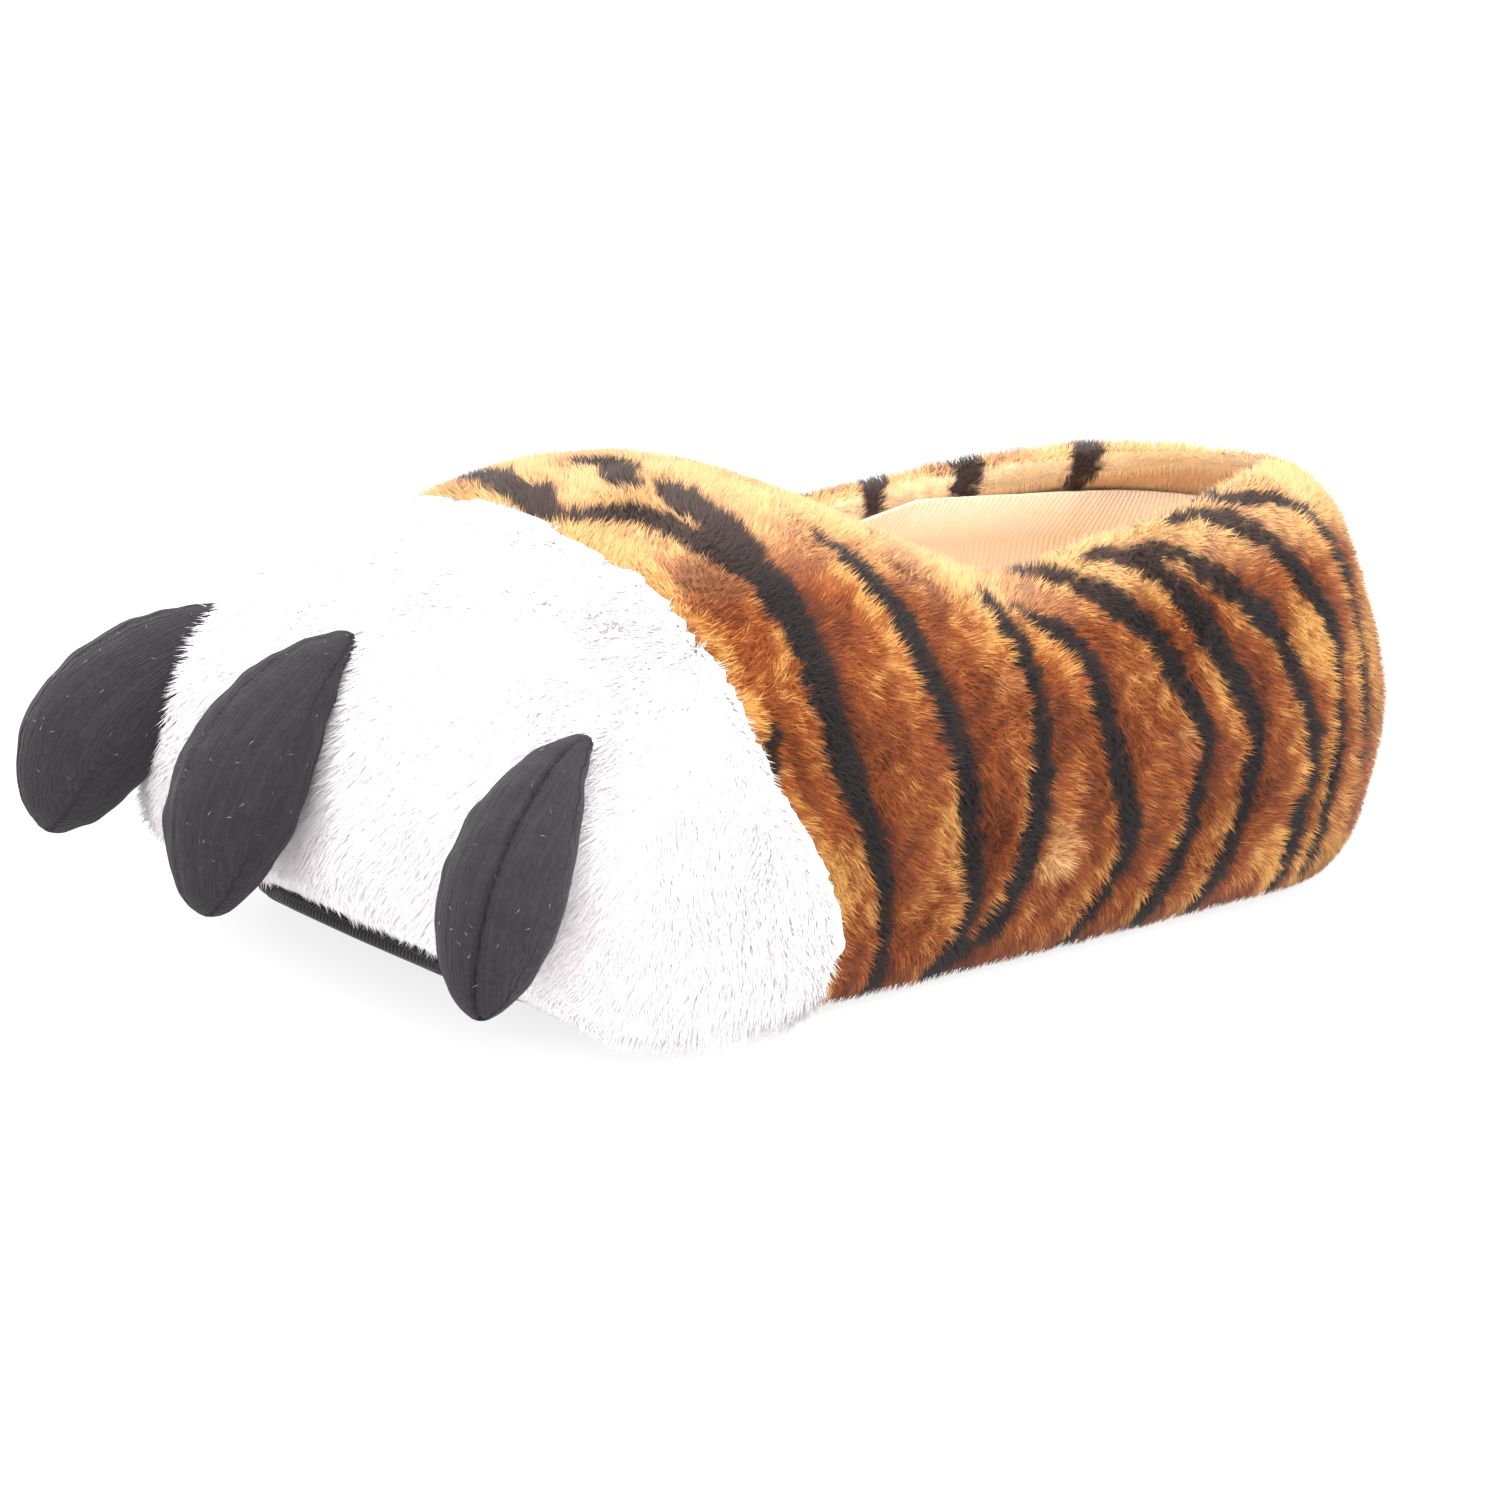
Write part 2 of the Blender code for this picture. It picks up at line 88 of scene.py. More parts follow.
# Stripes on the left side, as the photograph shows them: rows of x, y, z and half width
LEFT_STRIPES = (
    ((226, 9, 94, 1.2), (221, 14, 95, 2.4), (217, 20, 96, 3.4), (213, 33, 94, 3.2), (206, 46, 89, 4.3),
     (204, 59, 78, 3.3), (202, 67, 65, 2.9), (198, 69, 52, 3.3), (190, 69, 38, 2.9), (184, 67, 24, 1.8),
     (183, 66, 14, 1.5), (182, 63, 4, 1.4)),
    ((204, 14, 99, 3.0), (205, 25, 97, 3.7), (205, 36, 94, 4.0), (205, 43, 91, 3.0)),
    ((184, 37, 93, 1.2), (181, 46, 88, 2.7), (177, 54, 81, 3.1), (174, 61, 71, 2.9), (170, 64, 61, 2.6),
     (163, 64, 46, 2.8), (159, 64, 30, 2.9), (157, 62, 17, 2.3), (163, 60, 5, 3.0)),
    ((146, 46, 79, 1.2), (145, 53, 74, 2.6), (143, 59, 65, 2.1), (141, 62, 54, 2.1), (140, 62, 42, 3.4),
     (141, 62, 31, 2.4), (143, 61, 22, 3.1), (148, 61, 13, 2.2), (159, 60, 7, 2.0)),
    ((140, 49, 76, 1.0), (131, 55, 70, 2.0), (124, 59, 61, 2.5), (120, 59, 51, 2.8), (115, 58, 40, 2.6),
     (110, 57, 28, 2.8), (111, 57, 19, 2.3), (116, 56, 12, 2.1), (123, 53, 3, 1.6)),
    ((132, 37, 81, 1.2), (125, 45, 80, 2.3), (115, 52, 75, 2.8), (105, 55, 67, 2.7), (97, 56, 56, 2.3),
     (88, 55, 44, 1.7), (90, 55, 33, 2.3), (91, 54, 22, 2.3), (95, 53, 13, 2.6), (100, 50, 3, 1.8)),
    ((117, 43, 83, 1.2), (109, 46, 84, 2.0), (100, 50, 79, 2.3), (91, 53, 70, 2.8), (81, 54, 57, 2.8),
     (71, 53, 43, 2.3), (72, 53, 31, 2.3), (74, 52, 19, 2.4), (81, 49, 4, 1.8)),
    ((107, 44, 84, 1.3), (95, 47, 83, 1.7), (83, 50, 76, 2.4), (70, 51, 67, 2.4), (60, 50, 55, 1.8),
     (52, 50, 42, 2.0), (50, 49, 31, 2.0), (52, 48, 20, 2.4), (53, 45, 5, 1.8)),
    ((91, 40, 89, 1.0), (81, 42, 90, 1.9), (67, 46, 83, 2.3), (55, 47, 72, 2.2), (45, 47, 60, 1.5),
     (42, 48, 45, 1.2), (41, 47, 31, 1.4), (43, 44, 8, 1.7)),
    ((78, 33, 91, 1.6), (73, 38, 92, 2.2), (63, 39, 91, 1.5), (55, 39, 89, 1.6), (45, 39, 82, 1.7),
     (36, 41, 68, 1.4), (31, 43, 50, 1.2), (29, 42, 30, 1.0)),
    ((217, 68, 63, 1.0), (217, 70, 58, 1.6), (217, 71, 54, 1.0)),
)
# Stripes on the right side, where only the upper ends show, and four made up for the back of the heel
RIGHT_STRIPES = (
    ((226, 9, 94, 1.2), (227, 3, 94, 3.3), (224, -6, 95, 3.8), (222, -15, 95, 3.0), (216, -33, 91, 3.2),
     (210, -50, 84, 3.4), (206, -60, 74, 3.0), (203, -67, 60, 2.8), (198, -69, 46, 3.2), (190, -68, 32, 2.6),
     (186, -67, 18, 1.8), (185, -63, 4, 1.5)),
    ((208, 9, 99, 1.2), (208, 3, 99, 3.0), (203, -6, 99, 3.6), (204, -14, 98, 2.4)),
    ((198, -34, 93, 1.4), (193, -47, 85, 2.8), (188, -58, 73, 3.0), (182, -64, 58, 2.8), (174, -65, 42, 2.8),
     (170, -65, 27, 2.6), (170, -63, 14, 2.2), (175, -61, 4, 1.8)),
    ((180, -9, 97, 1.6), (176, -26, 94, 2.4), (170, -42, 87, 2.8), (164, -54, 76, 2.8), (158, -61, 63, 2.6),
     (151, -63, 48, 2.8), (147, -63, 33, 2.6), (148, -62, 19, 2.2), (155, -59, 5, 2.0)),
    ((146, -42, 80, 1.2), (142, -53, 73, 2.2), (137, -59, 63, 2.4), (130, -60, 50, 2.8), (126, -60, 37, 2.6),
     (127, -59, 24, 2.4), (133, -57, 11, 2.2), (141, -55, 4, 1.6)),
    ((122, -44, 80, 1.0), (116, -51, 74, 2.2), (109, -56, 64, 2.6), (103, -57, 52, 2.4), (99, -57, 40, 2.0),
     (101, -56, 28, 2.4), (105, -55, 15, 2.2), (111, -52, 4, 1.6)),
    ((105, -34, 73, 2.6), (106, -36, 79, 2.4), (104, -41, 82, 2.6), (98, -49, 77, 2.6), (90, -54, 66, 2.6),
     (84, -55, 55, 2.6), (76, -55, 44, 2.2), (79, -54, 32, 2.4), (84, -52, 13, 2.2), (89, -49, 4, 1.8)),
    ((82, -34, 74, 2.8), (82, -33, 81, 2.8), (81, -36, 85, 3.2), (77, -43, 82, 2.8), (70, -49, 73, 2.6),
     (63, -51, 61, 2.6), (56, -51, 48, 2.4), (56, -51, 35, 2.2), (59, -50, 21, 2.2), (64, -47, 5, 1.8)),
    ((55, -26, 76, 3.2), (56, -24, 83, 2.8), (55, -25, 88, 2.8), (51, -35, 86, 2.6), (45, -43, 75, 2.4),
     (38, -46, 61, 2.2), (33, -46, 46, 2.0), (34, -45, 31, 2.0), (38, -43, 8, 1.6)),
    ((25, -14, 84, 1.2), (21, -17, 78, 2.2), (16, -21, 68, 2.6), (12, -22, 57, 2.4), (5, -18, 45, 2.6),
     (2, -12, 34, 2.4), (3, -9, 24, 1.4)),
    ((27, 3, 86, 1.2), (19, 4, 79, 2.2), (13, 1, 69, 2.4), (7, 4, 58, 2.2), (4, 8, 48, 1.4)),
    ((14, 24, 60, 1.4), (7, 20, 48, 2.4), (6, 22, 36, 2.6), (10, 26, 24, 2.2), (14, 25, 10, 1.4)),
    ((1, 0, 30, 1.2), (3, 3, 21, 2.4), (6, 8, 12, 2.2), (9, 9, 5, 1.4)),
)
STRIPE_STEPS = 4
STRIPE_WIDER, STRIPE_SOFT, STRIPE_RAGGED = 0.75, 0.7, 0.4
HALO_REACH = 7.0  # this near to a stripe the pile is browner behind it and more golden ahead of it
BAND_WIDTH = 4.5  # a golden band behind the paw's seam
HEEL_SHEEN_FADE = (30.0, 78.0)  # the heel's end is painted more golden: painted sheen
# Shares of gold in the striped pile, and of pale gold over it, that each kind of place gives; the top of the
# upper, the rim's inner face and the heel's end get painted light
GOLD_BASE, GOLD_TUFT, GOLD_BESIDE, GOLD_PAINTED_TOP_LIGHT, GOLD_BAND, GOLD_PAINTED_HEEL_SHEEN = 0.42, 0.25, 0.2, 0.5, 0.35, 0.3
PALE_PARTED, PALE_PAINTED_TOP_LIGHT, PALE_PAINTED_RIM_LIGHT = 0.3, 0.3, 0.6

# Claws, with the headings of their solids in degrees
CLAW_HEADINGS = {"claw_right": -17.5, "claw_middle": 0.0, "claw_left": 17.5}
# Each claw is sewn on a little out of its even place: moves, a lean in degrees, a stretch sideways,
# a swelling all round and the place of its seam
SEWN_COLUMNS = ("x", "y", "z", "lean", "stretch", "swell", "seam")
CLAWS_SEWN = {
    "claw_right": (-1.8, 4.0, 1.0, 9.0, 1.14, 1.4, 0.0),
    "claw_middle": (0.0, 0.0, -1.0, 0.0, 1.0, 0.8, 0.0),
    "claw_left": (-1.3, 3.6, 0.8, 0.0, 1.0, 0.5, 3.5),
}
CLAW_VOXEL, CLAW_RADIUS = 0.85, 10.0
CLAW_GROOVE, CLAW_GROOVE_HALF, CLAW_STITCH = 0.7, 0.8, 2.6
LINT_PER_CLAW, LINT_LENGTH, LINT_WIDTH, LINT_RAISED = 70, 0.9, 0.14, 0.4

# Lining: ribs round the inside of the collar, from beside the insole up
LINING_FRONT, LINING_TURN = 185.0, 48.0
LINING_ROUND = 45.0  # the heel's bend is paced as an arc of this radius
LINING_TRACE_RAYS, LINING_TRACE_Z = 600, 42.0
LINING_LOW = 5.2
LINING_TOP_X, LINING_TOP_Z = (95, 128, 185), (77, 69, 62)
RIB_PITCH, RIB_DEPTH, RIB_COLUMNS = 1.4, 0.45, 4
LINING_ROWS, LINING_THICKNESS = 7, 1.0

SKIN_VOXEL, SOLE_VOXEL = 2.6, 2.4
INSIDE_SINK = 1.4
PAD_SPREAD = 3.2  # the soft insole is pressed out towards the lining

# Display colours, 0 to 255
BROWN, ORANGE, GOLD, PALE_GOLD = (100, 43, 11), (154, 76, 24), (222, 161, 86), (244, 212, 168)
# the stripes' paler colour is a painted highlight, used towards the top of the upper
STRIPE_DARK, STRIPE_PAINTED_HIGHLIGHT = (30, 22, 22), (62, 46, 41)
# the white roots are a little darker and pinker than the tips: painted shade deep in the pile
WHITE_TIP, WHITE_ROOT_PAINTED_SHADE = (250, 245, 246), (248, 241, 243)
LINING_TAN, LINING_SHADE = (254, 230, 202), (250, 213, 178)
CHARCOAL, CHARCOAL_PALE = (35, 32, 35), (54, 50, 55)
SOLE_BLACK, SOLE_GREY = (30, 29, 31), (52, 51, 54)
LINT_GREY = (190, 180, 178)
WAVE_RUN = 0.314  # a wave texture of scale 1 repeats after this many metres

# Stage: a softly glowing table, an even white world, and lights with a place in metres, a size and a power
FLOOR_SIZE, FLOOR_GREY, FLOOR_GLOW = 8.0, (124, 128), 0.8
WORLD_STRENGTH = 0.85
LIGHT_AIM = (0.0, 0.0, 0.05)
LIGHTS = (
    ("overhead", (0.0, 0.15, 1.1), 1.2, 21.0),
    ("front", (0.9, 1.1, 0.6), 0.9, 12.0),
    ("heel_side", (-0.9, 1.1, 0.6), 0.8, 18.0),
    ("toe_low", (1.1, 0.2, 0.25), 0.7, 7.5),
    ("right_side", (0.2, -1.3, 0.6), 0.9, 8.0),
)


# Small helpers

def linear(levels):
    """A display colour as linear values."""
    level = np.asarray(levels, float) / 255
    return np.where(level <= 0.04045, level / 12.92, ((level + 0.055) / 1.055) ** 2.4)


def unit(vectors):
    return vectors / np.maximum(np.linalg.norm(vectors, axis=-1, keepdims=True), 1e-9)


def ramp(values, low, high):
    """0 below low, 1 above high, with a smooth rise between."""
    t = np.clip((values - low) / (high - low), 0, 1)
    return t * t * (3 - 2 * t)


def mixed(first, second, share):
    share = np.asarray(share)[..., None]
    return first * (1 - share) + second * share


def ripple(places, size, seed):
    """Smooth noise of about unit strength, with blotches about size across."""
    rng = np.random.default_rng(seed)
    waves = 14
    total = np.zeros(len(places))
    for _ in range(waves):
        way = rng.normal(size=3)
        way *= np.pi / size * rng.uniform(0.6, 1.5) / np.linalg.norm(way)
        total += np.sin(places @ way + rng.uniform(0, 2 * np.pi))
    return total / np.sqrt(waves / 2)


def curve_through(rows, steps):
    """A smooth curve through the rows of a table."""
    rows = np.asarray(rows, float)
    ends = np.vstack([2 * rows[0] - rows[1], rows, 2 * rows[-1] - rows[-2]])
    t = np.linspace(0, 1, steps, endpoint=False)[:, None]
    parts = []
    for a, b, c, d in zip(ends, ends[1:], ends[2:], ends[3:]):
        bend = (2 * a - 5 * b + 4 * c - d) * t**2 + (3 * b - a - 3 * c + d) * t**3
        parts.append(b + ((c - a) * t + bend) / 2)
    return np.vstack([*parts, rows[-1:]])


# Meshes in shoe coordinates

def to_frame(places):
    return (np.asarray(places) - (ORIGIN_X, 0, 0)) * MM


def read_points(mesh):
    points = np.empty(len(mesh.vertices) * 3)
    mesh.vertices.foreach_get("co", points)
    return points.reshape(-1, 3) / MM + (ORIGIN_X, 0, 0)


def write_points(mesh, places):
    mesh.vertices.foreach_set("co", to_frame(places).ravel())
    mesh.update()


def read_normals(mesh):
    normals = np.empty(len(mesh.vertices) * 3, np.float32)
    mesh.vertex_normals.foreach_get("vector", normals)
    return normals.reshape(-1, 3).astype(float)


def read_triangles(mesh):
    mesh.calc_loop_triangles()
    corners = np.empty(len(mesh.loop_triangles) * 3, np.int32)
    mesh.loop_triangles.foreach_get("vertices", corners)
    return corners.reshape(-1, 3)


def mesh_from(name, places, faces):
    """A mesh from points and an array of faces that all have the same number of corners."""
    mesh = bpy.data.meshes.new(name)
    count, corners = faces.shape
    mesh.vertices.add(len(places))
    mesh.loops.add(count * corners)
    mesh.loops.foreach_set("vertex_index", faces.astype(np.int32).ravel())
    mesh.polygons.add(count)
    mesh.polygons.foreach_set("loop_start", np.arange(0, count * corners, corners, dtype=np.int32))
    mesh.vertices.foreach_set("co", to_frame(places).astype(np.float32).ravel())
    mesh.update(calc_edges=True)
    mesh.shade_smooth()
    return mesh


def tint(mesh, colours):
    """Stores one linear colour per point, which the materials read."""
    layer = mesh.color_attributes.new("tint", "FLOAT_COLOR", "POINT")
    opaque = np.column_stack([colours, np.ones(len(colours))])
    layer.data.foreach_set("color", opaque.astype(np.float32).ravel())


def remeshed(node, voxel):
    """An evenly divided closed copy of a solid's mesh."""
    shape = bmesh.new()
    shape.from_mesh(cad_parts[node].data)
    bmesh.ops.remove_doubles(shape, verts=shape.verts, dist=WELD)
    mesh = bpy.data.meshes.new(node + "_copy")
    shape.to_mesh(mesh)
    shape.free()
    carrier = bpy.data.objects.new(node + "_copy", mesh)
    bpy.context.scene.collection.objects.link(carrier)
    even = carrier.modifiers.new("even", "REMESH")
    even.mode = "VOXEL"
    even.voxel_size = voxel * MM
    graph = bpy.context.evaluated_depsgraph_get()
    result = bpy.data.meshes.new_from_object(carrier.evaluated_get(graph))
    bpy.data.objects.remove(carrier)
    result.shade_smooth()
    return result


def relax(mesh, rounds, share=0.5):
    """Smooths a mesh by moving each point towards the middle of its neighbours."""
    ends = np.empty(len(mesh.edges) * 2, np.int32)
    mesh.edges.foreach_get("vertices", ends)
    a, b = ends.reshape(-1, 2).T
    places = read_points(mesh)
    here, there = np.concatenate([a, b]), np.concatenate([b, a])
    degree = np.maximum(np.bincount(here, minlength=len(places)), 1)
    for _ in range(rounds):
        sums = [np.bincount(here, places[there, axis], len(places)) for axis in range(3)]
        places += share * (np.column_stack(sums) / degree[:, None] - places)
    write_points(mesh, places)


def add_piece(name, mesh, material, replaces=None):
    """Puts a finished mesh in the scene as a piece of the shoe."""
    piece = bpy.data.objects.new(name, mesh)
    bpy.context.scene.collection.objects.link(piece)
    mesh.materials.clear()
    mesh.materials.append(material)
    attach(piece, "root")
    if replaces:
        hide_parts(replaces)
    return piece


# Materials

def new_material(name, roughness, sheen=0.0, specular=0.3):
    """A material with its shader's constants set, and its nodes, links and shader."""
    material = bpy.data.materials.new(name)
    material.use_nodes = True
    tree = material.node_tree
    shader = tree.nodes["Principled BSDF"]
    shader.inputs["Roughness"].default_value = roughness
    shader.inputs["Specular IOR Level"].default_value = specular
    shader.inputs["Sheen Weight"].default_value = sheen
    shader.inputs["Sheen Roughness"].default_value = 0.5
    return material, tree, shader


def add_node(tree, kind, **values):
    """A node with some inputs set by name."""
    node = tree.nodes.new(kind)
    for key, value in values.items():
        node.inputs[key.replace("_", " ")].default_value = value
    return node


def shoe_noise(tree, scale, detail=3.0):
    """Noise fixed to the shoe, with scale in repeats per metre."""
    place = tree.nodes.new("ShaderNodeTexCoord")
    noise = add_node(tree, "ShaderNodeTexNoise", Scale=scale, Detail=detail)
    tree.links.new(place.outputs["Object"], noise.inputs["Vector"])
    return noise


def shoe_wave(tree, pitch, direction, distortion=0.0, knit=False):
    """Even bands a pitch in millimetres apart, fixed to the shoe or to a piece's own knit map."""
    scale = WAVE_RUN / (pitch * MM)
    wave = add_node(tree, "ShaderNodeTexWave", Scale=scale, Distortion=distortion, Detail=1.0)
    wave.bands_direction = direction
    if knit:
        place = tree.nodes.new("ShaderNodeAttribute")
        place.attribute_name = "knit"
        tree.links.new(place.outputs["Vector"], wave.inputs["Vector"])
    else:
        place = tree.nodes.new("ShaderNodeTexCoord")
        tree.links.new(place.outputs["Object"], wave.inputs["Vector"])
    return wave


def add_bump(tree, shader, height, distance):
    bump = add_node(tree, "ShaderNodeBump", Distance=distance * MM)
    tree.links.new(height, bump.inputs["Height"])
    tree.links.new(bump.outputs["Normal"], shader.inputs["Normal"])


def multiplied(tree, first, second):
    mix = tree.nodes.new("ShaderNodeMix")
    mix.data_type = "RGBA"
    mix.blend_type = "MULTIPLY"
    mix.inputs["Factor"].default_value = 1.0
    tree.links.new(first, mix.inputs["A"])
    tree.links.new(second, mix.inputs["B"])
    return mix.outputs["Result"]


def shaded(tree, colour, factor, low, high):
    """The colour made darker and lighter by a factor from 0 to 1."""
    scale = tree.nodes.new("ShaderNodeMapRange")
    scale.inputs["To Min"].default_value = low
    scale.inputs["To Max"].default_value = high
    tree.links.new(factor, scale.inputs["Value"])
    return multiplied(tree, colour, scale.outputs["Result"])


def tint_colour(tree):
    """The colour that each point of a mesh stores."""
    colour = tree.nodes.new("ShaderNodeVertexColor")
    colour.layer_name = "tint"
    return colour.outputs["Color"]


def pile_material(name, sheen):
    """Hair coloured by its own tint, with a fine unevenness from place to place."""
    material, tree, shader = new_material(name, 0.8, sheen, 0.25)
    noise = shoe_noise(tree, 420.0)
    colour = shaded(tree, tint_colour(tree), noise.outputs["Fac"], 0.86, 1.12)
    tree.links.new(colour, shader.inputs["Base Color"])
    return material


def backing_material(name, low, high):
    """The cloth that the pile grows from, mottled between a low and a high shade."""
    material, tree, shader = new_material(name, 0.95, 0.1, 0.2)
    noise = shoe_noise(tree, 900.0)
    colour = shaded(tree, tint_colour(tree), noise.outputs["Fac"], low, high)
    tree.links.new(colour, shader.inputs["Base Color"])
    add_bump(tree, shader, noise.outputs["Fac"], 0.3)
    return material


def two_tone(tree, factor, first, second):
    """A mix of two display colours by a factor from 0 to 1."""
    mix = tree.nodes.new("ShaderNodeMix")
    mix.data_type = "RGBA"
    mix.inputs["A"].default_value = (*linear(first), 1)
    mix.inputs["B"].default_value = (*linear(second), 1)
    tree.links.new(factor, mix.inputs["Factor"])
    return mix.outputs["Result"]


def added(tree, first, second):
    total = tree.nodes.new("ShaderNodeMath")
    total.operation = "ADD"
    tree.links.new(first, total.inputs[0])
    tree.links.new(second, total.inputs[1])
    return total.outputs["Value"]


def claw_material(name):
    """Brushed jersey: fine columns of stitches up the claw, under a soft nap."""
    material, tree, shader = new_material(name, 0.95, 0.06, 0.15)
    nap = shoe_noise(tree, 900.0, 5.0)
    columns = shoe_wave(tree, 0.85, "X", 1.2, knit=True)
    cloth = two_tone(tree, nap.outputs["Fac"], CHARCOAL, CHARCOAL_PALE)
    ribbed = shaded(tree, cloth, columns.outputs["Fac"], 0.86, 1.08)
    tree.links.new(multiplied(tree, ribbed, tint_colour(tree)), shader.inputs["Base Color"])
    add_bump(tree, shader, added(tree, nap.outputs["Fac"], columns.outputs["Fac"]), 0.12)
    return material


def lining_material(name):
    """Tan knit, paler on the ribs by their own shape, with a fine nap."""
    material, tree, shader = new_material(name, 0.95, 0.05, 0.15)
    nap = shoe_noise(tree, 1200.0, 4.0)
    tree.links.new(two_tone(tree, nap.outputs["Fac"], LINING_SHADE, LINING_TAN), shader.inputs["Base Color"])
    add_bump(tree, shader, nap.outputs["Fac"], 0.1)
    return material


def pad_material(name):
    """The insole's knit cover, ribbed from heel to toe."""
    material, tree, shader = new_material(name, 0.95, 0.05, 0.15)
    ribs = shoe_wave(tree, RIB_PITCH, "Y", 0.4)
    tree.links.new(two_tone(tree, ribs.outputs["Fac"], LINING_SHADE, LINING_TAN), shader.inputs["Base Color"])
    add_bump(tree, shader, ribs.outputs["Fac"], 0.3)
    return material


def weave_material(name):
    """Plain woven cloth: two sets of threads crossing."""
    material, tree, shader = new_material(name, 0.9, 0.1, 0.2)
    warp = shoe_wave(tree, 1.2, "X", 0.6)
    weft = shoe_wave(tree, 1.2, "Y", 0.6)
    height = added(tree, warp.outputs["Fac"], weft.outputs["Fac"])
    tree.links.new(two_tone(tree, warp.outputs["Fac"], SOLE_BLACK, SOLE_GREY), shader.inputs["Base Color"])
    add_bump(tree, shader, height, 0.2)
    return material


# Colours of the pile

def nearest_stripe(places):
    """How deep each place lies inside the nearest stripe, negative outside it, and how far ahead of it."""
    depth = np.full(len(places), -50.0)
    ahead = np.zeros(len(places))
    for rows in LEFT_STRIPES + RIGHT_STRIPES:
        line = curve_through(rows, STRIPE_STEPS)
        spine, half = line[:, :3], line[:, 3]
        for start, end, wide, wide_end in zip(spine, spine[1:], half, half[1:]):
            along = end - start
            share = np.clip((places - start) @ along / (along @ along), 0, 1)
            apart = places - start - share[:, None] * along
            inside = wide + (wide_end - wide) * share - np.linalg.norm(apart, axis=1)
            ahead = np.where(inside > depth, apart[:, 0], ahead)
            depth = np.maximum(depth, inside)
    return depth + STRIPE_WIDER, ahead


def parting_share(places):
    """How near each place is to a parted spot, where the pale roots show."""
    share = np.zeros(len(places))
    rough = 1.2 * ripple(places, 2.5, SEED + 7)
    for x, y, z, reach, strength in PARTINGS:
        away = np.linalg.norm(places - (x, y, z), axis=1) + rough
        share = np.maximum(share, strength * (1 - ramp(away, 0.2 * reach, reach)))
    return share


def seam_ahead(places):
    """How far each place lies ahead of the paw's seam."""
    return places[:, 0] - np.interp(places[:, 2], SEAM_Z, SEAM_X)


def tiger_tints(places, normals, tuft_shade):
    """Root and tip colours of the striped pile: brown to gold in patches and flecks, and the stripes, with
    painted light making the top, the rim's inner face and the heel's end more golden and paler.
    """
    depth, ahead = nearest_stripe(places)
    ragged = STRIPE_RAGGED * (ripple(places, 2.2, SEED + 1) + 0.7 * ripple(places, 7.0, SEED + 2))
    dark = ramp(depth + ragged, -STRIPE_SOFT, STRIPE_SOFT)
    beside = ramp(depth, -HALO_REACH, 0) * np.clip(ahead / 2, -1, 1)
    patch = 0.13 * ripple(places, 15.0, SEED + 3) + 0.1 * ripple(places, 3.0, SEED + 4)
    # painted light: the pile is more golden and paler towards the top of the upper, and its stripes paler
    # there
    high = ramp(places[:, 2] / np.interp(places[:, 0], RIDGE_X, RIDGE_Z), 0.84, 1.0)
    # painted light: inward faces, the rim's inner face where pile grows, are painted as golden and pale as
    # the top, their roots as light as the tips
    inside = ramp(-outward(places, normals), -0.1, 0.3)
    high = np.maximum(high, inside)
    band = ramp(seam_ahead(places), -BAND_WIDTH - 1.5, -BAND_WIDTH + 0.5)
    parted = parting_share(places) * np.clip(0.85 + 0.4 * tuft_shade, 0, 1)
    # painted sheen: the heel's end is more golden
    heel = 1 - ramp(places[:, 0], *HEEL_SHEEN_FADE)
    gold = GOLD_BASE + patch + GOLD_TUFT * tuft_shade + GOLD_BESIDE * beside * (1 - high)
    gold = np.clip(gold + GOLD_PAINTED_TOP_LIGHT * high + GOLD_BAND * band + GOLD_PAINTED_HEEL_SHEEN * heel, 0, 1)
    gold = np.maximum(gold, parted)
    tips = mixed(linear(BROWN), linear(ORANGE), ramp(gold, 0.0, 0.55))
    tips = mixed(tips, linear(GOLD), ramp(gold, 0.5, 1.0))
    pale = PALE_PARTED * parted**3 + PALE_PAINTED_TOP_LIGHT * high + PALE_PAINTED_RIM_LIGHT * inside
    tips = mixed(tips, linear(PALE_GOLD), pale)
    roots = tips * (0.8 + 0.2 * inside)[:, None]
    # the stripes are painted paler towards the top: painted highlight
    black = mixed(linear(STRIPE_DARK), linear(STRIPE_PAINTED_HIGHLIGHT), high)
    return mixed(roots, black, dark), mixed(tips, black, dark)


def white_tints(places, tuft_shade):
    """Root and tip colours of the white pile, the roots a little darker and pinker as painted shade."""
    shade = 1 + 0.02 * tuft_shade + 0.015 * ripple(places, 9.0, SEED + 5)
    tips = np.clip(linear(WHITE_TIP) * shade[:, None], 0, 0.97)
    # painted shade: the roots are a little darker and pinker than the tips
    roots = np.tile(linear(WHITE_ROOT_PAINTED_SHADE), (len(places), 1))
    return roots, tips


# Pile

def scatter(places, normals, triangles, count, rng):
    """Roots spread over triangles by area, with the skin's normal at each."""
    a, b, c = (places[triangles[:, i]] for i in range(3))
    areas = np.linalg.norm(np.cross(b - a, c - a), axis=1)
    chosen = rng.choice(len(triangles), count, p=areas / areas.sum())
    u, v = rng.random((2, count))
    over = u + v > 1
    u[over], v[over] = 1 - u[over], 1 - v[over]
    share = np.column_stack([1 - u - v, u, v])[:, :, None]
    corners = triangles[chosen]
    return (places[corners] * share).sum(1), unit((normals[corners] * share).sum(1))


def outward(places, normals, span=HEART_SPAN, side=0.0):
    """How far the skin faces away from a line inside the shoe, from -1 to 1."""
    x, y = places[:, 0], places[:, 1]
    heart = np.column_stack([np.clip(x, *span), side * y, np.full(len(places), HEART_HEIGHT)])
    return (normals * unit(places - heart)).sum(1)


def hang_share(roots, normals):
    """Where hairs hang straight down: low on the shoe and where the skin turns under."""
    low = 1 - ramp(roots[:, 2], HANG_LOW, HANG_HIGH)
    return np.maximum(low, ramp(-normals[:, 2], 0.2, 0.7))


